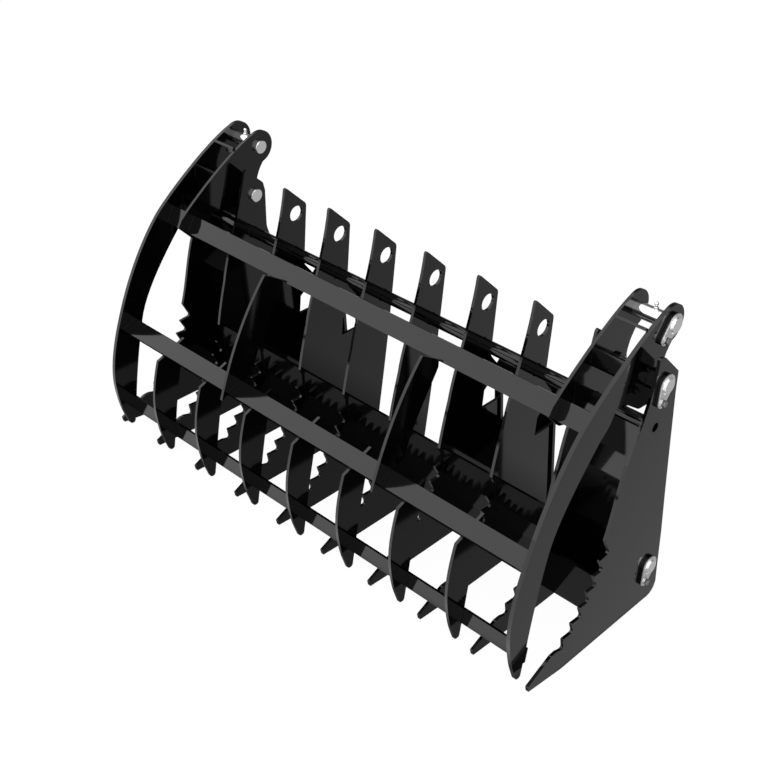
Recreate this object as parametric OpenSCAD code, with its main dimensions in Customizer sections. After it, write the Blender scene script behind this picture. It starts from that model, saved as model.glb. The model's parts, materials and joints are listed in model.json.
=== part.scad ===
// Grapple rake: a skid steer root rake with a hinged top grapple, in mm, +Z up.
// X runs across the rake, -Y is the open front with the tine tips, +Y the loader side.
// The outer cheeks stand on Z = 0. The grapple is drawn closed.

/* [Overall] */
// Distance between the tine centres
pitch = 203.2; // [180:0.2:230]
// Distance from each inner cheek to its outer cheek, centre to centre
cheek_bay = 198.8; // [180:0.1:230]
// Thickness of the rake plates and grapple tines
plate_t = 9.5; // [8:0.5:12.5]
// Height of the tine bottoms above the cheek bottoms
tine_lift = 12; // [6:1:20]

/* [Hooked teeth] */
// Number of hooks on the front edge of each tine
tooth_count = 6; // [4:1:7]
// Radius of the arc through the hook tips
tooth_arc_r = 557; // [500:1:620]
// Angle of the top hook on that arc
tooth_arc_start = -21; // [-24:0.5:-18]
// Angle from one hook to the next
tooth_step = 5; // [4.5:0.1:5.5]
// Depth of the notch behind each hook tip
notch_depth = 46.5; // [35:0.5:55]
// Drop from a hook tip to its notch
notch_drop = 2.5; // [0:0.5:8]

/* [Grapple] */
// Room between each outer arm and its outer cheek
arm_side = 32.9; // [31:0.1:40]
// Thickness of the outer grapple arms
arm_t = 12.7; // [9.5:0.1:14]
// Room between each inner arm and its inner cheek
arm_inner_side = 35.3; // [31:0.1:40]
// Centre plane of each middle grapple arm
arm_middle_x = 326; // [250:1:400]
// Distance between the grapple tine centres
jaw_pitch = 215; // [200:1:225]
// Height of the rectangular bar sections
bar_w = 60; // [50:1:70]
// Thickness of the bars
bar_t = 9.5; // [8:0.5:12.5]
// Slope of the upper bar from the horizontal
upper_bar_tilt = 59; // [50:1:70]
// Slope of the lower bar from the horizontal
lower_bar_tilt = 21.6; // [15:0.1:30]

/* [Pins and tube] */
// Diameter of the grapple pivot, ear and base pins
pin_d = 45; // [38:1:50]
// Diameter of the eye holes in the free tines
eye_d = 54; // [48:1:60]
// Radial clearance where the pins sit in the plates
pin_fit = 0.05; // [0.02:0.01:0.1]
// Outer diameter of the bushings in the grapple lugs
bush_d = 57; // [52:1:64]
// Outer diameter of the torque tube
tube_d = 38; // [34:1:48]
// Bore of the torque tube
tube_bore = 28; // [20:1:32]
// How far a plain pin end stands out of its plate
pin_stand = 12; // [8:1:16]
// Thickness of the flag plates on the pins
flag_t = 12; // [10:0.5:14]
// Radius of the round end of a flag plate
flag_r = 32; // [28:1:36]
// Radius of the lobe of a flag plate
flag_lobe_r = 17; // [14:1:20]
// Distance from the pin to the flag bolt
flag_reach = 50; // [44:1:58]
// Diameter of the flag bolt
flag_bolt_d = 12; // [10:1:16]

/* [Loader coupling] */
// How far each half coupling plate reaches past its two tines
coupler_edge = 12.9; // [8:0.1:18]
// Height of the upper edge of the coupling plates
coupler_top = 545; // [520:1:560]
// Height of the lower edge of the coupling plates
coupler_low = 128; // [115:1:140]
// Thickness of the coupling plates
coupler_t = 12; // [10:0.5:16]
// Length of the upper and lower flanges
flange_l = 38; // [30:1:45]
// Length of the latch slot
slot_l = 60; // [50:1:70]
// Width of the latch slot
slot_w = 18; // [15:1:22]

/* [Hidden] */
// Places every node so that the middle of the overall depth lies on Y = 0
shift_y = -287.19;
pivot = [470, 810];
ear = [535, 950];
base = [538, 145];
tube = [458, 676];
gap = 0.3;
inner_x = 3.5 * pitch;
cheek_x = inner_x + cheek_bay;
arm_x = cheek_x - plate_t / 2 - arm_side - arm_t / 2;
arm_inner_x = inner_x + plate_t + arm_inner_side;
coupler_in = 1.5 * pitch - coupler_edge;
coupler_out = 2.5 * pitch + coupler_edge;
tine_xs = [for (i = [0:5]) (i - 2.5) * pitch];
plate_xs = [for (x = [-cheek_x, -inner_x]) x, for (x = tine_xs) x, inner_x, cheek_x];
jaw_xs = [for (i = [-3:3]) i * jaw_pitch];
round_n = 6;
bolt_slack = 0.5;
flag_end = 6;
lug_r = 48;
ear_c = [535, 947];
ear_r = 57;
upper_c = [234.6, 763.5];
lower_c = [27.2, 423.6];
strip_c = [27, 104.7];
strip_w = 49;
strip_a = 81.1;
pivot_v = [-17, -47];
ear_v = [-40, -30];

function unit(v) = v / norm(v);
function wrap(a) = a > 180 ? a - 360 : a < -180 ? a + 360 : a;

// One corner p between its neighbours a and b, rounded with radius r
function corner(a, p, b, r) =
    let (u = unit(a - p), w = unit(b - p), half = acos(u * w) / 2)
    let (c = p + unit(u + w) * (r / sin(half)), s = p + u * r / tan(half), e = p + w * r / tan(half))
    let (a0 = atan2(s[1] - c[1], s[0] - c[0]), a1 = atan2(e[1] - c[1], e[0] - c[0]))
    [for (i = [0:round_n]) c + r * [cos(a0 + wrap(a1 - a0) * i / round_n),
                                    sin(a0 + wrap(a1 - a0) * i / round_n)]];

// An outline from points [y, z, radius]; a radius of 0 stays sharp
function outline(p) = let (m = len(p))
    [for (i = [0:m - 1]) each p[i][2] == 0 ? [[p[i][0], p[i][1]]]
        : corner([p[(i + m - 1) % m][0], p[(i + m - 1) % m][1]], [p[i][0], p[i][1]],
                 [p[(i + 1) % m][0], p[(i + 1) % m][1]], p[i][2])];

// A cubic curve from a to d with the handles b and c, without its first point
function curve(a, b, c, d, n) = [for (i = [1:n]) let (t = i / n, s = 1 - t)
    [each s * s * s * a + 3 * s * s * t * b + 3 * s * t * t * c + t * t * t * d, 0]];

// The hook tips, counted from the top
tooth_c = [-249, 517.7];
function tooth(i) = tooth_c + tooth_arc_r * [cos(tooth_arc_start - tooth_step * i),
                                             sin(tooth_arc_start - tooth_step * i)];
notch_v = [notch_depth, -notch_drop];

// Front edge from the first hook down to the toe and along the bottom
function hooks() = [[288, 379, 3], [318, 323, 7],
    for (i = [0:tooth_count - 2]) each [[each tooth(i), 2.5], [each tooth(i + 1) + notch_v, 7]],
    [each tooth(tooth_count - 1), 2.5], [145, 77, 7]];
function toe(low) = [[112, 87, 10], [90, 86, 16], [-8, 38, 3], [-3, 18, 3], [148, low, 60]];
function front(a) = [each curve(a, [405, 770], [340, 640], [323, 534], 12),
    each curve([323, 534], [308, 480], [297, 430], [288, 379], 6)];

function tine_rear() = [[424, tine_lift, 60], [446, 206, 0], [470, 393, 0], [485, 518, 0],
    [501, 680, 0], [515, 833, 20]];
function coupler_y(z) = 600.5 - 0.0963 * z;
function back_y(z) = coupler_y(z) + gap + coupler_t;
function tine_rear_wide() = [[552, tine_lift, 60], [coupler_y(95), 95, 0], [coupler_y(434), 434, 0],
    [478, 434, 5], [483, 498, 0], [500, 512, 0], [coupler_y(512), 512, 0], [coupler_y(560), 560, 10],
    [502, 615, 25], [515, 833, 20]];

function tine_outline(rear) = outline([[424, 918, 6], each cut_last(front([424, 918])),
    each hooks(), each toe(tine_lift), each rear]);
function cut_last(p) = [for (i = [0:len(p) - 2]) p[i]];

function inner_outline() = outline([[432, 914, 8], each cut_last(front([428, 900])),
    each hooks(), each toe(tine_lift),
    [592, tine_lift, 38], [600, 60, 20], [587, 241, 0], [569, 399, 0], [550, 584, 40], [518, 680, 60],
    [516, 812, 20],
    [508, 843, 20], [482, 866, 12]]);

function outer_outline() = outline([[431, 905, 6],
    each curve([431, 905], [432, 820], [400, 720], [356, 635], 10),
    each cut_last(curve([356, 635], [325, 560], [312, 445], [288, 379], 8)),
    each hooks(), each toe(0),
    [600, 0, 38], [608, 40, 20], [604, 79, 0], [591, 241, 0], [573, 399, 0], [554, 584, 0],
    [537, 757, 0], [534, 823, 14], [458, 896, 12]]);

// A plate drawn in Y and Z, t thick and centred on x
module plate(x, t = plate_t) {
    translate([x, shift_y, 0]) rotate([90, 0, 90]) linear_extrude(t, center = true) children();
}

// A round bar along X from a to b with its centre on p
module bar(p, d, a, b) {
    translate([a, p[0] + shift_y, p[1]]) rotate([0, 90, 0]) cylinder(h = b - a, d = d, $fn = 64);
}

module hole(p, d) translate(p) circle(d = d, $fn = 64);

tube_hole = tube_d + 0.6;
pin_hole = pin_d + 2 * pin_fit;

module outer_cheek(x) {
    plate(x) difference() {
        polygon(outer_outline());
        for (p = [pivot, base]) {
            hole(p, pin_hole);
            hole(p + flag_reach * unit(pivot_v), flag_bolt_d + bolt_slack);
        }
        hole(tube, tube_hole);
    }
}

module inner_cheek(x) {
    plate(x) difference() {
        polygon(inner_outline());
        hole(pivot, pin_hole);
        hole(base, pin_hole);
        hole(tube, tube_hole);
    }
}

module tine(i) {
    wide = i == 0 || i == 1 || i == 4 || i == 5;
    plate(tine_xs[i]) difference() {
        polygon(tine_outline(wide ? tine_rear_wide() : tine_rear()));
        hole(pivot, eye_d);
        hole(tube, tube_hole);
    }
}

module torque_tube() {
    difference() {
        bar(tube, tube_d, -cheek_x - plate_t / 2, cheek_x + plate_t / 2);
        bar(tube, tube_bore, -cheek_x - plate_t, cheek_x + plate_t);
    }
}

// The bent plates that close the heel between the tines, one in each bay
heel_in = [[303, 372], [309, 281], [332, 196], [368, 16]];
function heel_line() = [each heel_in,
    [heel_in[3][0] + bar_t, heel_in[3][1]], [heel_in[2][0] + bar_t, heel_in[2][1] + 2],
    [heel_in[1][0] + bar_t, heel_in[1][1] + 2], [heel_in[0][0] + bar_t, heel_in[0][1]]];
heel_low = [heel_in[2], heel_in[3], heel_in[3] + [bar_t, 0], heel_in[2] + [bar_t, 2]];
module heel_plates() {
    for (i = [0:8]) {
        a = plate_xs[i] + plate_t / 2 + gap;
        b = plate_xs[i + 1] - plate_t / 2 - gap;
        plate((a + b) / 2, b - a) polygon(i == 0 || i == 8 ? heel_low : heel_line());
    }
}

// The bent guard in front of each cylinder bay, from behind the torque tube down to the heel
guard_t = 8;
guard_y = tube[0] + tube_d / 2 + 2 * gap;
module cylinder_guard(side) {
    a = inner_x + plate_t / 2 + gap;
    b = cheek_x - plate_t / 2 - gap;
    plate(side * (a + b) / 2, b - a)
        polygon([[guard_y, 667], [guard_y, 525], [436, 474], [436, 40],
            [436 + guard_t, 40], [436 + guard_t, 470], [guard_y + guard_t, 521], [guard_y + guard_t, 667]]);
}

// Half coupling plate behind two tines, with its upper hook flange and lower latch flange
module coupler(side) {
    mid = side * (coupler_in + coupler_out) / 2;
    low = [coupler_y(coupler_low) + gap, coupler_low];
    top = [coupler_y(coupler_top) + gap, coupler_top];
    up = flange_l * [cos(45), sin(45)];
    out = flange_l * [cos(-30), sin(-30)];
    difference() {
        plate(mid, coupler_out - coupler_in) polygon([low, top, top + [0, 4], top + [0, 4] + up,
            top + [9, -5] + up, [back_y(coupler_top - 3), coupler_top - 3],
            [back_y(coupler_low + 12), coupler_low + 12], low + out + [6, 10.4], low + out]);
        translate([mid, low[0] + shift_y, low[1]] + [0, out[0], out[1]] * 0.6)
            rotate([-30, 0, 0]) cube([slot_l, slot_w, 50], center = true);
        translate([side * 345, coupler_y(412) + shift_y + 40, 412]) rotate([90, 0, 0])
            linear_extrude(80) polygon(outline([[-28, -60, 12], [28, -60, 12], [28, 60, 12], [-28, 60, 12]]));
    }
}

// A flag plate at p on plane x, with its bolt lobe towards v
module flag(p, x, v) {
    q = p + flag_reach * unit(v);
    plate(x, flag_t) difference() {
        hull() {
            translate(p) circle(r = flag_r, $fn = 64);
            translate(q) circle(r = flag_lobe_r, $fn = 48);
        }
        hole(q, flag_bolt_d + bolt_slack);
    }
}

// A flagged pin from its plain end a to the outer face b of its plates, on one side
module flag_pin(p, a, b, side, v) {
    end = b + gap + flag_t + flag_end;
    bar(p, pin_d, side > 0 ? a : -end, side > 0 ? end : -a);
    flag(p, side * (b + gap + flag_t / 2), v);
}

// The flag bolt with its washer, head and nut; b is the outer face of its plate, t thick
module flag_bolt(p, b, v, t = plate_t) {
    q = p + flag_reach * unit(v);
    s = b + gap + flag_t + gap;
    nut = b - t - gap;
    for (turn = [0, 1]) mirror([turn, 0, 0]) {
        bar(q, flag_bolt_d, nut - 12, s + 6);
        bar(q, 26, s, s + 2.5);
        hex(q, s + 2.5, 8);
        hex(q, nut - 9, 9);
    }
}
module hex(p, x, h) {
    translate([x, p[0] + shift_y, p[1]]) rotate([0, 90, 0]) cylinder(h = h, d = 21, $fn = 6);
}

// Outline of the grapple arms, as rows of [y, z, radius]
arm_a = [507, 997];
arm_b = [194, 792];
arm_c = [7, 487];
arm_d = [-53, 235];
function arm_front() = [[each arm_a, 0], each curve(arm_a, [430, 972], [285, 873], arm_b, 12),
    each curve(arm_b, [125, 725], [50, 602], arm_c, 12)];
function arm_nose() = [each curve(arm_c, [-25, 405], [-53, 320], arm_d, 10),
    each curve(arm_d, [-53, 190], [-38, 115], [-24, 80], 8), [-7, 34, 12], [11, 36, 8], [18, 80, 0],
    [26, 131, 60]];
function arm_back() = [each curve([26, 131], [38, 230], [60, 340], [80, 419], 8),
    each curve([80, 419], [100, 505], [170, 600], [262, 706], 10)];
function arm_neck() = [each curve([262, 706], [290, 728], [308, 745], [317, 783], 6), [372, 768, 20],
    [430, 728, 25], [500, 722, 35], [528, 775, 20], [517, 815, 0], each curve([517, 815], [520, 850], [535, 880], [568, 911], 8), [527, 950, 0]];

module arm_holes() {
    hole(pivot, bush_d + gap);
    hole(ear, pin_hole);
}
module lug_shape() {
    translate(pivot) circle(r = lug_r, $fn = 96);
    translate(ear_c) circle(r = ear_r, $fn = 96);
}

// The cut for a flat bar with its middle on c, running w along the direction a
module bar_cut(c, w, a, clear = gap) {
    translate(c) rotate(a) square([w + 2 * clear, bar_t + 2 * clear], center = true);
}
module upper_cut() bar_cut(upper_c, bar_w, upper_bar_tilt);

module arm_outer(side) {
    plate(side * arm_x, arm_t) difference() {
        union() {
            polygon(outline([each arm_front(), each arm_nose(), each arm_back(), each arm_neck()]));
            lug_shape();
        }
        arm_holes();
        hole(ear + flag_reach * unit(ear_v), flag_bolt_d + bolt_slack);
    }
}

module arm_inner(side) {
    plate(side * arm_inner_x) difference() {
        union() {
            polygon(outline([[each arm_a, 0], each curve(arm_a, [430, 972], [285, 873], arm_b, 12),
                [180, 768, 3], [231, 716, 3], [262, 706, 0], each arm_neck()]));
            lug_shape();
        }
        arm_holes();
        upper_cut();
    }
}

module arm_middle(side) {
    plate(side * arm_middle_x) difference() {
        polygon(outline([[each arm_b, 0], each curve(arm_b, [125, 725], [50, 602], arm_c, 12),
            each curve(arm_c, [-25, 405], [-53, 320], arm_d, 10), [90, 360, 0],
            each curve([90, 360], [95, 500], [190, 615], [238, 700], 10), [240, 727, 18]]));
        translate(upper_c) rotate(upper_bar_tilt) translate([-bar_w / 2 - gap, -200]) square([400, 400]);
        translate(lower_c) rotate(lower_bar_tilt) translate([-200, -400 - bar_t / 2]) square([400, 400]);
    }
}

module jaw_tine(x) {
    plate(x) difference() {
        polygon(outline([[each arm_c, 0], each arm_nose(),
            each curve([26, 131], [38, 230], [60, 340], [80, 419], 8), [96, 480, 0]]));
        translate(lower_c) rotate(lower_bar_tilt) translate([-200, -bar_t / 2 - gap]) square([400, 400]);
    }
}

// A flat bar between the planes a and b, with its section w wide along the direction t
module flat_bar(c, w, t, a, b, thick = bar_t) {
    plate((a + b) / 2, b - a) translate(c) rotate(t) square([w, thick], center = true);
}

module upper_bar() {
    reach = arm_in;
    flat_bar(upper_c, bar_w, upper_bar_tilt, -reach, reach);
}
module lower_bar(a, b) {
    flat_bar(lower_c, bar_w, lower_bar_tilt, a, b);
}
module tip_strip() {
    flat_bar(strip_c, strip_w, strip_a, -arm_face, arm_face);
}

// Rows of [middle, width, direction] for the three cross plates of each arm pair
brace_rows = [[[449, 956], 46, -36], [[350, 881], 57, 90], [[290, 790], 61, 90]];
module braces(side) {
    a = arm_inner_x + plate_t / 2 + gap;
    b = arm_in;
    for (r = brace_rows) flat_bar(r[0], r[1], r[2], side > 0 ? a : -b, side > 0 ? b : -a, 8);
}

// A bushing welded into a lug, from x = a to x = b
module bushing(a, b) {
    difference() {
        bar(pivot, bush_d, a, b);
        bar(pivot, pin_hole, a - 1, b + 1);
    }
}

module pivot_pin(side) flag_pin(pivot, cheek_in, cheek_face, side, pivot_v);
module base_pin(side) flag_pin(base, cheek_in, cheek_face, side, pivot_v);
module ear_pin(side) flag_pin(ear, ear_in, arm_face, side, ear_v);
module pivot_bolts() flag_bolt(pivot, cheek_face, pivot_v);
module base_bolts() flag_bolt(base, cheek_face, pivot_v);
module ear_bolts() flag_bolt(ear, arm_face, ear_v, arm_t);

// Grease nipples on top of the ear pins, between the arms of each pair
module ear_nipples() {
    x = (arm_x + arm_inner_x) / 2 + 8;
    for (side = [-1, 1]) translate([side * x, ear[0] + shift_y, ear[1] + pin_d / 2]) {
        cylinder(h = 5, d = 11, $fn = 6);
        cylinder(h = 12, d = 6, $fn = 32);
        translate([0, 0, 13]) sphere(d = 7.5, $fn = 32);
    }
}

cheek_face = cheek_x + plate_t / 2;
cheek_in = inner_x - plate_t / 2 - pin_stand;
arm_face = arm_x + arm_t / 2;
arm_in = arm_x - arm_t / 2 - gap;
ear_in = arm_inner_x - plate_t / 2 - pin_stand;
bush_out = cheek_x - plate_t / 2 - 0.6;
bush_in = inner_x + plate_t / 2 + 0.6;
lower_gap = arm_middle_x + plate_t / 2 + gap;
lower_end = arm_middle_x - plate_t / 2 - gap;

color("black") outer_cheek(-cheek_x);  // outer_cheek_left
color("black") outer_cheek(cheek_x);  // outer_cheek_right
color("black") inner_cheek(-inner_x);  // inner_cheek_left
color("black") inner_cheek(inner_x);  // inner_cheek_right
color("black") tine(0);  // tine_1
color("black") tine(1);  // tine_2
color("black") tine(2);  // tine_3
color("black") tine(3);  // tine_4
color("black") tine(4);  // tine_5
color("black") tine(5);  // tine_6
color("black") torque_tube();
color("black") heel_plates();
color("black") cylinder_guard(-1);  // cylinder_guard_left
color("black") cylinder_guard(1);  // cylinder_guard_right
color("black") coupler(-1);  // coupler_left
color("black") coupler(1);  // coupler_right
color("silver") pivot_pin(-1);  // pivot_pin_left
color("silver") pivot_pin(1);  // pivot_pin_right
color("silver") base_pin(-1);  // base_pin_left
color("silver") base_pin(1);  // base_pin_right
color("silver") pivot_bolts();
color("silver") base_bolts();
color("black") arm_outer(-1);  // jaw_arm_outer_left
color("black") arm_outer(1);  // jaw_arm_outer_right
color("black") arm_inner(-1);  // jaw_arm_inner_left
color("black") arm_inner(1);  // jaw_arm_inner_right
color("black") arm_middle(-1);  // jaw_arm_middle_left
color("black") arm_middle(1);  // jaw_arm_middle_right
color("black") jaw_tine(jaw_xs[0]);  // jaw_tine_1
color("black") jaw_tine(jaw_xs[1]);  // jaw_tine_2
color("black") jaw_tine(jaw_xs[2]);  // jaw_tine_3
color("black") jaw_tine(jaw_xs[3]);  // jaw_tine_4
color("black") jaw_tine(jaw_xs[4]);  // jaw_tine_5
color("black") jaw_tine(jaw_xs[5]);  // jaw_tine_6
color("black") jaw_tine(jaw_xs[6]);  // jaw_tine_7
color("black") upper_bar();
color("black") lower_bar(-arm_in, -lower_gap);  // lower_bar_left
color("black") lower_bar(-lower_end, lower_end);  // lower_bar_centre
color("black") lower_bar(lower_gap, arm_in);  // lower_bar_right
color("black") tip_strip();
color("black") braces(-1);  // arm_braces_left
color("black") braces(1);  // arm_braces_right
color("black") bushing(-bush_out, -arm_x + 15);  // bushing_outer_left
color("black") bushing(arm_x - 15, bush_out);  // bushing_outer_right
color("black") bushing(-arm_inner_x - 15, -bush_in);  // bushing_inner_left
color("black") bushing(bush_in, arm_inner_x + 15);  // bushing_inner_right
color("silver") ear_pin(-1);  // ear_pin_left
color("silver") ear_pin(1);  // ear_pin_right
color("silver") ear_bolts();
color("silver") ear_nipples();
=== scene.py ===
import json
import math

import bmesh
import bpy
from mathutils import Matrix, Vector


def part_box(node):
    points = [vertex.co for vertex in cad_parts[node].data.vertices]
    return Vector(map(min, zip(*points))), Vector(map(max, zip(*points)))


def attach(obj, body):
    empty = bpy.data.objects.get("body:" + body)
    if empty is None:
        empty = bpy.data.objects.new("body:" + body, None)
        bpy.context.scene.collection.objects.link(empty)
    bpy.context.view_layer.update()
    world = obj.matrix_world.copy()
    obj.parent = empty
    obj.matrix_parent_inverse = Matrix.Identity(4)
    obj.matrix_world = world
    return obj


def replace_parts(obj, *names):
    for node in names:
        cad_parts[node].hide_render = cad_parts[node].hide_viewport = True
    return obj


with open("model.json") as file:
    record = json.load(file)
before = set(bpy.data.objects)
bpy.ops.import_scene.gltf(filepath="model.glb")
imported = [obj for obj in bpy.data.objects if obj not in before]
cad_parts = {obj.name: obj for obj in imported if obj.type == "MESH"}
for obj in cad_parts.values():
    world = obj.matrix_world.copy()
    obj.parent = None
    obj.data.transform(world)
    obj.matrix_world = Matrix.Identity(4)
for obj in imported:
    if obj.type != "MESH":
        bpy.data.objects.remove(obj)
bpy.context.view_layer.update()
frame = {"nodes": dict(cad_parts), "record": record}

# Camera at the photograph's viewpoint
cameraPlace = {
    "centre": (2.3407, -2.41429, 2.668),
    "right": (0.7210, 0.6927, 0.0181),
    "forward": (-0.5726, 0.6103, -0.5475),
    "lens": 60.98,
    "sensor": 36.0,
    "farthest": 100.0,
}


def makeCamera():
    data = bpy.data.cameras.new("camera")
    data.lens = cameraPlace["lens"]
    data.sensor_width = cameraPlace["sensor"]
    data.clip_end = cameraPlace["farthest"]
    obj = bpy.data.objects.new("camera", data)
    back = -Vector(cameraPlace["forward"]).normalized()
    up = back.cross(Vector(cameraPlace["right"])).normalized()
    right = up.cross(back)
    turn = Matrix((right, up, back)).transposed().to_4x4()
    obj.matrix_world = Matrix.Translation(cameraPlace["centre"]) @ turn
    bpy.context.scene.collection.objects.link(obj)
    bpy.context.scene.camera = obj


makeCamera()
print("camera placed")


# A node's output, which can be added and multiplied as a number can
class Socket:
    def __init__(self, tree, link):
        self.tree = tree
        self.link = link

    def math(self, operation, other):
        return addNode(self.tree, "ShaderNodeMath", {"operation": operation}, [self, other])

    def __add__(self, other):
        return self.math("ADD", other)

    def __mul__(self, other):
        return self.math("MULTIPLY", other)

    def __rsub__(self, other):
        return addNode(self.tree, "ShaderNodeMath", {"operation": "SUBTRACT"}, [other, self])


# Inputs are given by name in a dictionary, or by their order in a list
def addNode(tree, kind, settings, values, output=0):
    node = tree.nodes.new(kind)
    for name, value in settings.items():
        setattr(node, name, value)
    pairs = values.items() if isinstance(values, dict) else enumerate(values)
    for key, value in pairs:
        if isinstance(value, Socket):
            tree.links.new(value.link, node.inputs[key])
        else:
            node.inputs[key].default_value = value
    return Socket(tree, node.outputs[output])


def newMaterial(name):
    material = bpy.data.materials.new(name)
    material.use_nodes = True
    tree = material.node_tree
    shader = tree.nodes["Principled BSDF"]
    return material, tree, shader


def objectCoords(tree):
    return addNode(tree, "ShaderNodeTexCoord", {}, {}, "Object")


def noise(tree, scale, detail=3.0):
    values = {"Vector": objectCoords(tree), "Scale": scale, "Detail": detail}
    return addNode(tree, "ShaderNodeTexNoise", {}, values)


def ramp(tree, value, span, low, high):
    return addNode(tree, "ShaderNodeMapRange", {}, [value, *span, low, high])


def spread(source, middle, width):
    return source * width + (middle - width / 2)


def bump(tree, height, distance, strength):
    values = {"Strength": strength, "Distance": distance, "Height": height}
    return addNode(tree, "ShaderNodeBump", {}, values)


# Gloss black enamel: deep black, with a faint orange peel and soft patches of haze; duller over the welds
paint = {
    "deep": (0.0008, 0.0008, 0.0009, 1),
    "dusty": (0.0024, 0.0024, 0.0026, 1),
    "dustScale": 9.0,
    "refraction": 1.5,
    "roughness": 0.08,
    "sheen": 0.5,
    "weldRoughness": 0.4,
    "weldSheen": 0.12,
    "roughnessSpread": 0.05,
    "hazeScale": 5.0,
    "peelScale": 140.0,
    "peelDetail": 1.0,
    "peelHeight": 0.00003,
    "peelStrength": 0.25,
}
# Steel finishes, zinc plated, dark or bright as welded: colour, roughness and metallic; the dark flag layer
# among them is painted shade for the gap behind each flag
steel = {
    "zincPin": ((0.92, 0.92, 0.93), 0.1, 0.95),
    "zincFlag": ((0.6, 0.6, 0.61), 0.24, 0.5),
    "zincBolt": ((0.9, 0.9, 0.91), 0.2, 0.95),
    "darkBolt": ((0.28, 0.28, 0.28), 0.2, 0.95),
    # painted shade: a dark steel layer that stands for the shadow in the gap between each flag and its plate
    "paintedGapShade": ((0.05, 0.05, 0.052), 0.2, 0.95),
    "brightWeld": ((0.95, 0.95, 0.95), 0.34, 0.95),
}
# What all the steel finishes share
steelGrain = {
    "mottle": 0.08,
    "roughnessSpread": 0.06,
    "scale": 30.0,
    "fineScale": 240.0,
    "fineDetail": 2.0,
    "height": 0.00001,
    "strength": 0.3,
}
mottleDetail = 5.0
mixSockets = {"factor": 0, "low": 6, "high": 7, "result": 2}  # the Mix node's colour sockets, by their order


def mottle(tree, shader, scale, low, high):
    values = {
        mixSockets["factor"]: noise(tree, scale, mottleDetail),
        mixSockets["low"]: low,
        mixSockets["high"]: high,
    }
    mixed = addNode(tree, "ShaderNodeMix", {"data_type": "RGBA"}, values, mixSockets["result"])
    tree.links.new(mixed.link, shader.inputs["Base Color"])


def makePaint(name, roughness, sheen):
    material, tree, shader = newMaterial(name)
    mottle(tree, shader, paint["dustScale"], paint["deep"], paint["dusty"])
    shader.inputs["IOR"].default_value = paint["refraction"]
    shader.inputs["Specular IOR Level"].default_value = sheen
    haze = spread(noise(tree, paint["hazeScale"]), roughness, paint["roughnessSpread"])
    tree.links.new(haze.link, shader.inputs["Roughness"])
    height = noise(tree, paint["peelScale"], paint["peelDetail"])
    peel = bump(tree, height, paint["peelHeight"], paint["peelStrength"])
    tree.links.new(peel.link, shader.inputs["Normal"])
    return material


def makeSteel(name):
    color, roughness, metallic = steel[name]
    material, tree, shader = newMaterial(name)
    half = steelGrain["mottle"] / 2
    low, high = ([min(1, c * k) for c in color] + [1] for k in (1 - half, 1 + half))
    mottle(tree, shader, steelGrain["scale"], low, high)
    shader.inputs["Metallic"].default_value = metallic
    haze = spread(noise(tree, steelGrain["scale"]), roughness, steelGrain["roughnessSpread"])
    tree.links.new(haze.link, shader.inputs["Roughness"])
    height = noise(tree, steelGrain["fineScale"], steelGrain["fineDetail"])
    grain = bump(tree, height, steelGrain["height"], steelGrain["strength"])
    tree.links.new(grain.link, shader.inputs["Normal"])
    return material


glossBlack = makePaint("glossBlack", paint["roughness"], paint["sheen"])
weldBlack = makePaint("weldBlack", paint["weldRoughness"], paint["weldSheen"])
finishes = {name: makeSteel(name) for name in steel}
looks = {
    "black_paint": glossBlack,
    "bushing_steel": glossBlack,
    "pin_steel": finishes["zincPin"],
    "bolt_steel": finishes["zincBolt"],
    "nipple_steel": finishes["brightWeld"],
}


def dressNodes():
    for part in frame["record"]["subparts"]:
        materials = frame["nodes"][part["node"]].data.materials
        for i in range(len(materials)):
            materials[i] = looks[part["material_slot"]]


dressNodes()
print("materials made")


def platePlane(node):
    low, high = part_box(node)
    return (low[0] + high[0]) / 2


def plateThickness(node):
    low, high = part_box(node)
    return high[0] - low[0]


# Planes of the right hand plates, in metres from the middle; the left ones mirror them
planes = {
    "outerCheek": platePlane("outer_cheek_right"),
    "innerCheek": platePlane("inner_cheek_right"),
    "outerArm": platePlane("jaw_arm_outer_right"),
    "innerArm": platePlane("jaw_arm_inner_right"),
    "middleArm": platePlane("jaw_arm_middle_right"),
}
plate = plateThickness("outer_cheek_right")
armPlate = plateThickness("jaw_arm_outer_right")
# Points in a plate's plane, as depth and height above the ground
places = {
    "frontY": -0.28719,  # the frame's Y where the depth is 0, just behind the cheek tips
    "pivot": (0.470, 0.810),
    "base": (0.538, 0.145),
    "ear": (0.535, 0.950),
    "pivotLobe": (-17, -47),  # direction from a pin to its flag bolt
    "earLobe": (-40, -30),
}
gap = 0.0003  # between a plate and the flag or nut on it, and between a flag and its washer
softening = {"flat": 20, "round": 40, "bead": 60}  # largest angle, in degrees, that is shaded as smooth


def onFrame(x, point):
    return Vector((x, point[0] + places["frontY"], point[1]))


def quarterTurn(axis):
    return Matrix.Rotation(math.pi / 2, 4, axis)


def finishPiece(name, bm, material, body, smooth):
    bmesh.ops.recalc_face_normals(bm, faces=bm.faces)
    mesh = bpy.data.meshes.new(name)
    bm.to_mesh(mesh)
    bm.free()
    for face in mesh.polygons:
        face.use_smooth = True
    mesh.materials.append(material)
    mesh.set_sharp_from_angle(angle=math.radians(softening[smooth]))
    obj = bpy.data.objects.new(name, mesh)
    bpy.context.scene.collection.objects.link(obj)
    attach(obj, body)
    return obj


# One finish of a node, which may be replaced by several pieces
def finishSteel(node, ending, bm, finish, body, smooth="flat"):
    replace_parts(finishPiece(node + ending, bm, finishes[finish], body, smooth), node)


def joinInto(bm, part):
    spare = bpy.data.meshes.new("spare")
    part.to_mesh(spare)
    part.free()
    bm.from_mesh(spare)
    bpy.data.meshes.remove(spare)


def sharpEdges(bm, angle=60):
    limit = math.radians(angle)
    return [e for e in bm.edges if len(e.link_faces) == 2 and e.calc_face_angle(0) > limit]


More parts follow.
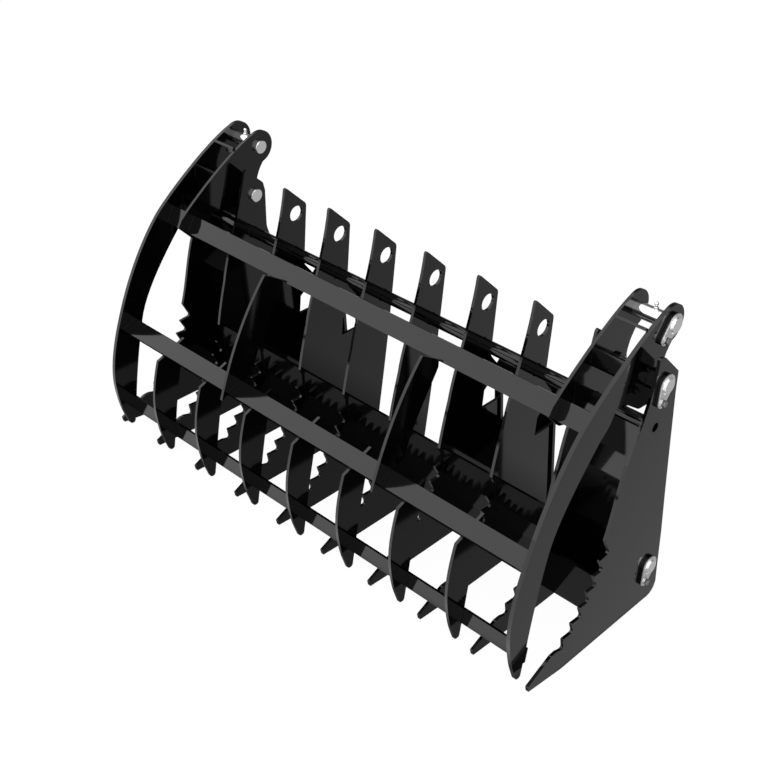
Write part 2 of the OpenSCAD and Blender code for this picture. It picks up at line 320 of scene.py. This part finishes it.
# Edges that lie across X, round a bar's two ends
def rimEdges(bm, reach=1e-6):
    return [e for e in bm.edges if abs(e.verts[0].co.x - e.verts[1].co.x) < reach]


def softenEdges(bm, edges, width):
    bmesh.ops.bevel(bm, geom=edges, offset=width, segments=2, affect="EDGES", profile=0.5, material=-1)


hexSides = 6


# A bar along X; a hexagon keeps its long edges sharp and has only its rims softened
def addBar(bm, centre, radius, length, sides, chamfer):
    part = bmesh.new()
    bmesh.ops.create_cone(part, cap_ends=True, segments=sides, radius1=radius, radius2=radius, depth=length,
                          matrix=Matrix.Translation(centre) @ quarterTurn("Y"))
    edges = rimEdges(part) if sides == hexSides else sharpEdges(part)
    softenEdges(part, edges, chamfer)
    joinInto(bm, part)


# Flag plates, each with a dark inner layer that is painted shade for the gap between flag and plate, welded
# to their pins with two bright beads and held by one bolt
flagPlate = {
    "thickness": 0.012,
    "base": 0.0075,  # thickness of the dark layer, painted shade for the gap behind the flag
    "round": 0.032,  # radius round the pin
    "roundSides": 64,
    "lobe": 0.017,  # radius round the bolt
    "lobeSides": 48,
    "reach": 0.050,  # from the pin's middle to the bolt's
    "flatAngle": 0.5,
    "edge": 0.0012,
    "baseEdge": 0.0004,
    "bead": 0.0026,
    "beadSides": 10,
    "beadOut": 1 / 3,  # share of a bead's radius by which its middle is outside the pin
    "beadArc": 105,
    "beadSteps": 26,
    "beadStarts": (-15, 150),
}
pin = {
    "radius": 0.0225,
    "sides": 64,
    "chamfer": 0.0016,
    "flagEnd": 0.006,  # how far each end stands out
    "plainEnd": 0.012,
}
flagBolt = {
    "shank": 0.006,
    "shankSides": 24,
    "shankChamfer": 0.0006,
    "washer": 0.013,
    "washerSides": 32,
    "washerChamfer": 0.0005,
    "washerThickness": 0.0025,
    "head": 0.0105,
    "headChamfer": 0.0011,
    "headHeight": 0.008,
    "nutHeight": 0.009,
    "spill": 0.003,  # length of thread past the nut
}


def addFlag(bm, side, near, far, point, lobe, edge):
    part = bmesh.new()
    discs = (
        (point, flagPlate["round"], flagPlate["roundSides"]),
        (lobe, flagPlate["lobe"], flagPlate["lobeSides"]),
    )
    for centre, radius, sides in discs:
        for face in (near, far):
            place = Matrix.Translation(onFrame(side * face, centre))
            bmesh.ops.create_circle(part, segments=sides, radius=radius, matrix=place @ quarterTurn("Y"))
    hull = bmesh.ops.convex_hull(part, input=part.verts)
    inside = {g for g in hull["geom_interior"] + hull["geom_unused"] if isinstance(g, bmesh.types.BMVert)}
    bmesh.ops.delete(part, geom=list(inside), context="VERTS")
    bmesh.ops.dissolve_limit(part, angle_limit=math.radians(flagPlate["flatAngle"]),
                             verts=part.verts, edges=part.edges)
    softenEdges(part, sharpEdges(part), edge)
    joinInto(bm, part)


# A bead round part of a pin, from an angle in degrees that counts from the pin's top
def addBead(bm, centre, start):
    part = bmesh.new()
    radius = pin["radius"] + flagPlate["bead"] * flagPlate["beadOut"]
    place = Matrix.Translation(centre + Vector((0, 0, radius)))
    bmesh.ops.create_circle(part, segments=flagPlate["beadSides"], radius=flagPlate["bead"],
                            matrix=place @ quarterTurn("X"))
    bmesh.ops.rotate(part, verts=part.verts, cent=centre, matrix=Matrix.Rotation(math.radians(start), 3, "X"))
    bmesh.ops.spin(part, geom=part.edges[:], cent=centre, axis=(1, 0, 0),
                   angle=math.radians(flagPlate["beadArc"]), steps=flagPlate["beadSteps"])
    bmesh.ops.holes_fill(part, edges=part.edges)
    joinInto(bm, part)


def lobePoint(point, direction):
    length = math.hypot(*direction)
    return tuple(p + flagPlate["reach"] * d / length for p, d in zip(point, direction))


def makePin(name, body, point, direction, side, innerFace, outerFace):
    flagIn = outerFace + gap
    seam = flagIn + flagPlate["base"]
    flagOut = flagIn + flagPlate["thickness"]
    start = innerFace - pin["plainEnd"]
    end = flagOut + pin["flagEnd"]
    lobe = lobePoint(point, direction)
    # The flag's dark inner layer is painted shade: it stands for the shadow in the gap between flag and plate
    base = bmesh.new()
    addFlag(base, side, flagIn, seam, point, lobe, flagPlate["baseEdge"])
    finishSteel(name, "FlagPaintedShade", base, "paintedGapShade", body)
    bar = bmesh.new()
    middle = onFrame(side * (start + end) / 2, point)
    addBar(bar, middle, pin["radius"], end - start, pin["sides"], pin["chamfer"])
    finishSteel(name, "Steel", bar, "zincPin", body)
    flag = bmesh.new()
    addFlag(flag, side, seam, flagOut, point, lobe, flagPlate["edge"])
    finishSteel(name, "Flag", flag, "zincFlag", body)
    beads = bmesh.new()
    for turn in flagPlate["beadStarts"]:
        addBead(beads, onFrame(side * flagOut, point), turn)
    finishSteel(name, "Beads", beads, "brightWeld", body, "bead")


def makeBolts(name, body, point, direction, outerFace, thickness):
    lobe = lobePoint(point, direction)
    bright = bmesh.new()
    dark = bmesh.new()
    seat = outerFace + 2 * gap + flagPlate["thickness"]
    nutFace = outerFace - thickness - gap
    head, nut = flagBolt["headHeight"], flagBolt["nutHeight"]
    top = seat + flagBolt["washerThickness"]
    tail = nutFace - nut - flagBolt["spill"]
    for side in (-1, 1):
        addBar(dark, onFrame(side * (tail + top) / 2, lobe), flagBolt["shank"], top - tail,
               flagBolt["shankSides"], flagBolt["shankChamfer"])
        addBar(bright, onFrame(side * (seat + top) / 2, lobe), flagBolt["washer"], top - seat,
               flagBolt["washerSides"], flagBolt["washerChamfer"])
        addBar(dark, onFrame(side * (top + head / 2), lobe), flagBolt["head"], head,
               hexSides, flagBolt["headChamfer"])
        addBar(dark, onFrame(side * (nutFace - nut / 2), lobe), flagBolt["head"], nut,
               hexSides, flagBolt["headChamfer"])
    finishSteel(name, "Bright", bright, "zincBolt", body)
    finishSteel(name, "Dark", dark, "darkBolt", body)


cheekFace = planes["outerCheek"] + plate / 2
cheekInside = planes["innerCheek"] - plate / 2
armFace = planes["outerArm"] + armPlate / 2
armInside = planes["innerArm"] - plate / 2
for side, word in ((-1, "left"), (1, "right")):
    makePin("pivot_pin_" + word, "rake", places["pivot"], places["pivotLobe"], side, cheekInside, cheekFace)
    makePin("base_pin_" + word, "rake", places["base"], places["pivotLobe"], side, cheekInside, cheekFace)
    makePin("ear_pin_" + word, "jaw", places["ear"], places["earLobe"], side, armInside, armFace)
makeBolts("pivot_bolts", "rake", places["pivot"], places["pivotLobe"], cheekFace, plate)
makeBolts("base_bolts", "rake", places["base"], places["pivotLobe"], cheekFace, plate)
makeBolts("ear_bolts", "jaw", places["ear"], places["earLobe"], armFace, armPlate)
print("pins, flags and bolts made")

# Grease nipples: a hexagon, a waist and a round head
nipple = {
    "hexRadius": 0.008,
    "hexHeight": 0.006,
    "waistRadius": 0.0042,
    "waistHeight": 0.006,
    "waistSides": 24,
    "taper": 0.9,
    "chamfer": 0.0006,
    "headRadius": 0.006,
    "headSides": 24,
    "headRings": 14,
    "headRise": 0.0036,
    "sunk": 0.0005,
    "offset": 0.008,
}


def makeNipples():
    bm = bmesh.new()
    x = (planes["outerArm"] + planes["innerArm"]) / 2 + nipple["offset"]
    foot = places["ear"][1] + pin["radius"] - nipple["sunk"]
    stages = (
        (nipple["hexRadius"], nipple["hexHeight"], hexSides),
        (nipple["waistRadius"], nipple["waistHeight"], nipple["waistSides"]),
    )
    for side in (-1, 1):
        rise = foot
        for radius, height, sides in stages:
            centre = onFrame(side * x, (places["ear"][0], rise + height / 2))
            part = bmesh.new()
            bmesh.ops.create_cone(part, cap_ends=True, segments=sides, radius1=radius,
                                  radius2=radius * nipple["taper"], depth=height,
                                  matrix=Matrix.Translation(centre))
            softenEdges(part, sharpEdges(part), nipple["chamfer"])
            joinInto(bm, part)
            rise += height
        head = onFrame(side * x, (places["ear"][0], rise + nipple["headRise"]))
        bmesh.ops.create_uvsphere(bm, u_segments=nipple["headSides"], v_segments=nipple["headRings"],
                                  radius=nipple["headRadius"], matrix=Matrix.Translation(head))
    piece = finishPiece("nipples", bm, finishes["brightWeld"], "jaw", "round")
    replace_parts(piece, "ear_nipples")


makeNipples()
print("grease nipples made")

# Weld beads along the joints of plates, bars and tube
weld = {
    "radius": 0.002,
    "endScale": 0.7,
    "step": 0.0036,
    "ripple": 0.14,
    "sides": 7,
    "ringSteps": 72,
}


def addWeld(bm, start, end):
    part = bmesh.new()
    run = end - start
    count = round(run.length / weld["step"])
    stride = run / count
    place = Matrix.Translation(start) @ run.to_track_quat("Z", "Y").to_matrix().to_4x4()
    ring = bmesh.ops.create_circle(part, segments=weld["sides"], radius=weld["radius"] * weld["endScale"],
                                   matrix=place)["verts"]
    edges = list({e for v in ring for e in v.link_edges})
    first = edges
    for i in range(count):
        grown = bmesh.ops.extrude_edge_only(part, edges=edges)["geom"]
        ring = [g for g in grown if isinstance(g, bmesh.types.BMVert)]
        edges = [g for g in grown if isinstance(g, bmesh.types.BMEdge) and all(v in ring for v in g.verts)]
        centre = start + stride * (i + 1)
        bmesh.ops.translate(part, verts=ring, vec=stride)
        ripple = weld["ripple"] if i % 2 else -weld["ripple"]
        ending = weld["endScale"] if i == count - 1 else 1
        radius = weld["radius"] * (1 + ripple) * ending
        now = (ring[0].co - centre).length
        bmesh.ops.scale(part, verts=ring, vec=(radius / now,) * 3, space=Matrix.Translation(-centre))
    bmesh.ops.edgeloop_fill(part, edges=first)
    bmesh.ops.edgeloop_fill(part, edges=edges)
    joinInto(bm, part)


def addRingWeld(bm, centre, radius):
    part = bmesh.new()
    place = Matrix.Translation(centre + Vector((0, 0, radius)))
    bmesh.ops.create_circle(part, segments=weld["sides"], radius=weld["radius"],
                            matrix=place @ quarterTurn("X"))
    count = weld["ringSteps"]
    bmesh.ops.spin(part, geom=part.edges[:], cent=centre, axis=(1, 0, 0), angle=math.tau, steps=count,
                   use_merge=True)
    rows = {}
    for v in part.verts:
        row = round(math.atan2(v.co.z - centre.z, v.co.y - centre.y) / math.tau * count) % count
        rows.setdefault(row, []).append(v)
    for row, verts in rows.items():
        if row % 2 == 0:
            middle = sum((v.co for v in verts), Vector()) / len(verts)
            bmesh.ops.scale(part, verts=verts, vec=(1 - weld["ripple"],) * 3,
                            space=Matrix.Translation(-middle))
    joinInto(bm, part)


# Each flat bar's middle, half its width and its slope in degrees; they are as thick as the cheeks
bars = {
    "upper": {"middle": (0.2346, 0.7635), "half": 0.030, "slope": 59.0},
    "lower": {"middle": (0.0272, 0.4236), "half": 0.030, "slope": 21.6},
    "strip": {"middle": (0.0270, 0.1047), "half": 0.0245, "slope": 81.1},
}
jawWelds = {
    "braces": (((0.346, 0.8555), (0.346, 0.9065)), ((0.286, 0.762), (0.286, 0.818))),  # both ends of each
    "bushingRing": 0.029,
    "reach": 0.92,  # share of a bar's width that is welded
    "tineReach": 0.8,
    "tines": ["jaw_tine_%d" % i for i in range(1, 8)],
}


def barPoint(bar, along, out):
    slope = math.radians(bar["slope"])
    y = bar["middle"][0] + along * math.cos(slope) - out * math.sin(slope)
    z = bar["middle"][1] + along * math.sin(slope) + out * math.cos(slope)
    return y, z


def weldBar(bm, bar, x, faces=(-1, 1), reach=jawWelds["reach"]):
    for face in faces:
        out = face * plate / 2
        low = barPoint(bar, -bar["half"] * reach, out)
        high = barPoint(bar, bar["half"] * reach, out)
        addWeld(bm, onFrame(x, low), onFrame(x, high))


def weldArms(bm, side):
    half = plate / 2
    outer = side * (planes["outerArm"] - armPlate / 2)
    inner = side * planes["innerArm"]
    middle = side * planes["middleArm"]
    weldBar(bm, bars["upper"], outer)
    weldBar(bm, bars["lower"], outer)
    weldBar(bm, bars["strip"], outer, faces=(1,))
    for shift in (-half, half):
        weldBar(bm, bars["upper"], inner + shift)
        weldBar(bm, bars["upper"], middle + shift, faces=(-1,))
        weldBar(bm, bars["lower"], middle + shift)
    for x in (inner + side * half, outer):
        for low, high in jawWelds["braces"]:
            addWeld(bm, onFrame(x, low), onFrame(x, high))
    for x in (inner - side * half, outer + side * armPlate):
        addRingWeld(bm, onFrame(x, places["pivot"]), jawWelds["bushingRing"])


def makeJawWelds():
    bm = bmesh.new()
    for side in (-1, 1):
        weldArms(bm, side)
    for tine in jawWelds["tines"]:
        for shift in (-plate / 2, plate / 2):
            x = platePlane(tine) + shift
            weldBar(bm, bars["lower"], x, faces=(-1,), reach=jawWelds["tineReach"])
            weldBar(bm, bars["strip"], x, faces=(1,))
    finishPiece("jawWelds", bm, weldBlack, "jaw", "bead")


rakeWelds = {
    "heelBends": ((0.303, 0.372), (0.309, 0.281), (0.332, 0.196), (0.368, 0.016)),  # from the top down
    "outerStart": 2,  # the outer bays' plates begin at this bend
    "tube": (0.458, 0.676),
    "tubeRing": 0.0195,
    "plates": ["outer_cheek_left", "inner_cheek_left"] + ["tine_%d" % i for i in range(1, 7)]
              + ["inner_cheek_right", "outer_cheek_right"],
}


def makeRakeWelds():
    bm = bmesh.new()
    bays = range(len(rakeWelds["plates"]) - 1)
    for i, node in enumerate(rakeWelds["plates"]):
        for side, bay in ((-1, i - 1), (1, i)):
            if bay not in bays:
                continue
            x = platePlane(node) + side * plate / 2
            addRingWeld(bm, onFrame(x, rakeWelds["tube"]), rakeWelds["tubeRing"])
            bends = rakeWelds["heelBends"]
            if bay in (bays[0], bays[-1]):
                bends = bends[rakeWelds["outerStart"]:]
            for a, b in zip(bends, bends[1:]):
                addWeld(bm, onFrame(x, a), onFrame(x, b))
    finishPiece("rakeWelds", bm, weldBlack, "rake", "bead")


makeJawWelds()
makeRakeWelds()
print("welds made")

# Stage: a pale floor, and surroundings that gloss sees dark beneath and behind the object, bright in front;
# on the floor this is a glow for gloss rays, with painted shadow beneath the object, painted shade beside and
# behind it and painted light in front
stage = {
    "floorSize": 60.0,
    "floorTop": -0.0006,
    "floorColor": (0.86, 0.86, 0.86, 1),
    "floorRoughness": 0.9,
    "floorSheen": 0.1,
    "floorSeen": 0.93,  # share of white in what the camera sees, the rest being the lit floor
    "floorWhite": 1.045,
    "paintedShadowBeneath": 0.2,  # levels that gloss sees, glowing from the floor: painted shadow beneath the object, painted shade beside and behind it, painted light in front; and where one passes into the next
    "paintedShadeAround": 0.42,
    "paintedLightInFront": 1.4,
    "sideSpan": (0.90, 0.925),
    "rearSpan": (0.36, 0.56),
    "frontSpan": (-0.33, -0.42),
    "skyDiffuse": 0.6,
    "skyRear": 0.12,
    "skyFront": 1.75,
    "skySpan": (0.55, 0.1),
    "white": (1, 1, 1, 1),
}
lamps = {
    "key": {"place": (1.5, -3.5, 4.5), "size": 2.5, "power": 60},
    "fill": {"place": (4.5, 0.5, 2.5), "size": 2.0, "power": 15},
}
lampTarget = (0, 0, 0.5)


def separate(tree, vector, axis):
    return addNode(tree, "ShaderNodeSeparateXYZ", {}, [vector], axis)


def makeGlow(tree, strength):
    return addNode(tree, "ShaderNodeEmission", {}, {"Color": stage["white"], "Strength": strength})


def makeFloorLook():
    material, tree, shader = newMaterial("floorWhite")
    shader.inputs["Base Color"].default_value = stage["floorColor"]
    shader.inputs["Roughness"].default_value = stage["floorRoughness"]
    shader.inputs["Specular IOR Level"].default_value = stage["floorSheen"]
    rays = tree.nodes.new("ShaderNodeLightPath")
    seenByGloss = Socket(tree, rays.outputs["Is Glossy Ray"])
    seenByCamera = Socket(tree, rays.outputs["Is Camera Ray"]) * stage["floorSeen"]
    place = objectCoords(tree)
    depth = separate(tree, place, "Y")
    beside = ramp(tree, separate(tree, place, "X"), stage["sideSpan"], 0.0, 1.0)
    behind = ramp(tree, depth, stage["rearSpan"], 0.0, 1.0)
    around = beside.math("MAXIMUM", behind)
    # For gloss rays the floor glows instead of being lit: painted shadow beneath the object, painted shade
    # beside and behind it, painted light in front
    shade = around * (stage["paintedShadeAround"] - stage["paintedShadowBeneath"]) + stage["paintedShadowBeneath"]
    level = ramp(tree, depth, stage["frontSpan"], shade, stage["paintedLightInFront"])
    lit = Socket(tree, shader.outputs["BSDF"])
    white = makeGlow(tree, stage["floorWhite"])
    mixed = addNode(tree, "ShaderNodeMixShader", {}, [seenByGloss, lit, makeGlow(tree, level)])
    mixed = addNode(tree, "ShaderNodeMixShader", {}, [seenByCamera, mixed, white])
    tree.links.new(mixed.link, tree.nodes["Material Output"].inputs["Surface"])
    return material


def makeFloor():
    mesh = bpy.data.meshes.new("floor")
    bm = bmesh.new()
    bmesh.ops.create_grid(bm, x_segments=1, y_segments=1, size=stage["floorSize"] / 2)
    bm.to_mesh(mesh)
    bm.free()
    mesh.materials.append(makeFloorLook())
    floor = bpy.data.objects.new("floor", mesh)
    floor.location.z = stage["floorTop"]
    bpy.context.scene.collection.objects.link(floor)


def makeWorld():
    world = bpy.data.worlds.new("studio")
    bpy.context.scene.world = world
    world.use_nodes = True
    tree = world.node_tree
    back = tree.nodes["Background"]
    back.inputs["Color"].default_value = stage["white"]
    rays = tree.nodes.new("ShaderNodeLightPath")
    camera = Socket(tree, rays.outputs["Is Camera Ray"])
    gloss = Socket(tree, rays.outputs["Is Glossy Ray"])
    direction = addNode(tree, "ShaderNodeTexCoord", {}, {}, "Generated")
    depth = separate(tree, direction, "Y")
    level = ramp(tree, depth, stage["skySpan"], stage["skyRear"], stage["skyFront"])
    strength = camera + gloss * level + (1 - camera) * (1 - gloss) * stage["skyDiffuse"]
    tree.links.new(strength.link, back.inputs["Strength"])


def makeLamp(name, place, size, power):
    data = bpy.data.lights.new(name, "AREA")
    data.shape = "DISK"
    data.size = size
    data.energy = power
    lamp = bpy.data.objects.new(name, data)
    lamp.location = place
    lamp.rotation_mode = "QUATERNION"
    lamp.rotation_quaternion = (Vector(lampTarget) - Vector(place)).to_track_quat("-Z", "Y")
    bpy.context.scene.collection.objects.link(lamp)


makeFloor()
makeWorld()
for name, lamp in lamps.items():
    makeLamp(name, lamp["place"], lamp["size"], lamp["power"])
bpy.context.scene.view_settings.view_transform = "Standard"
print("stage made")
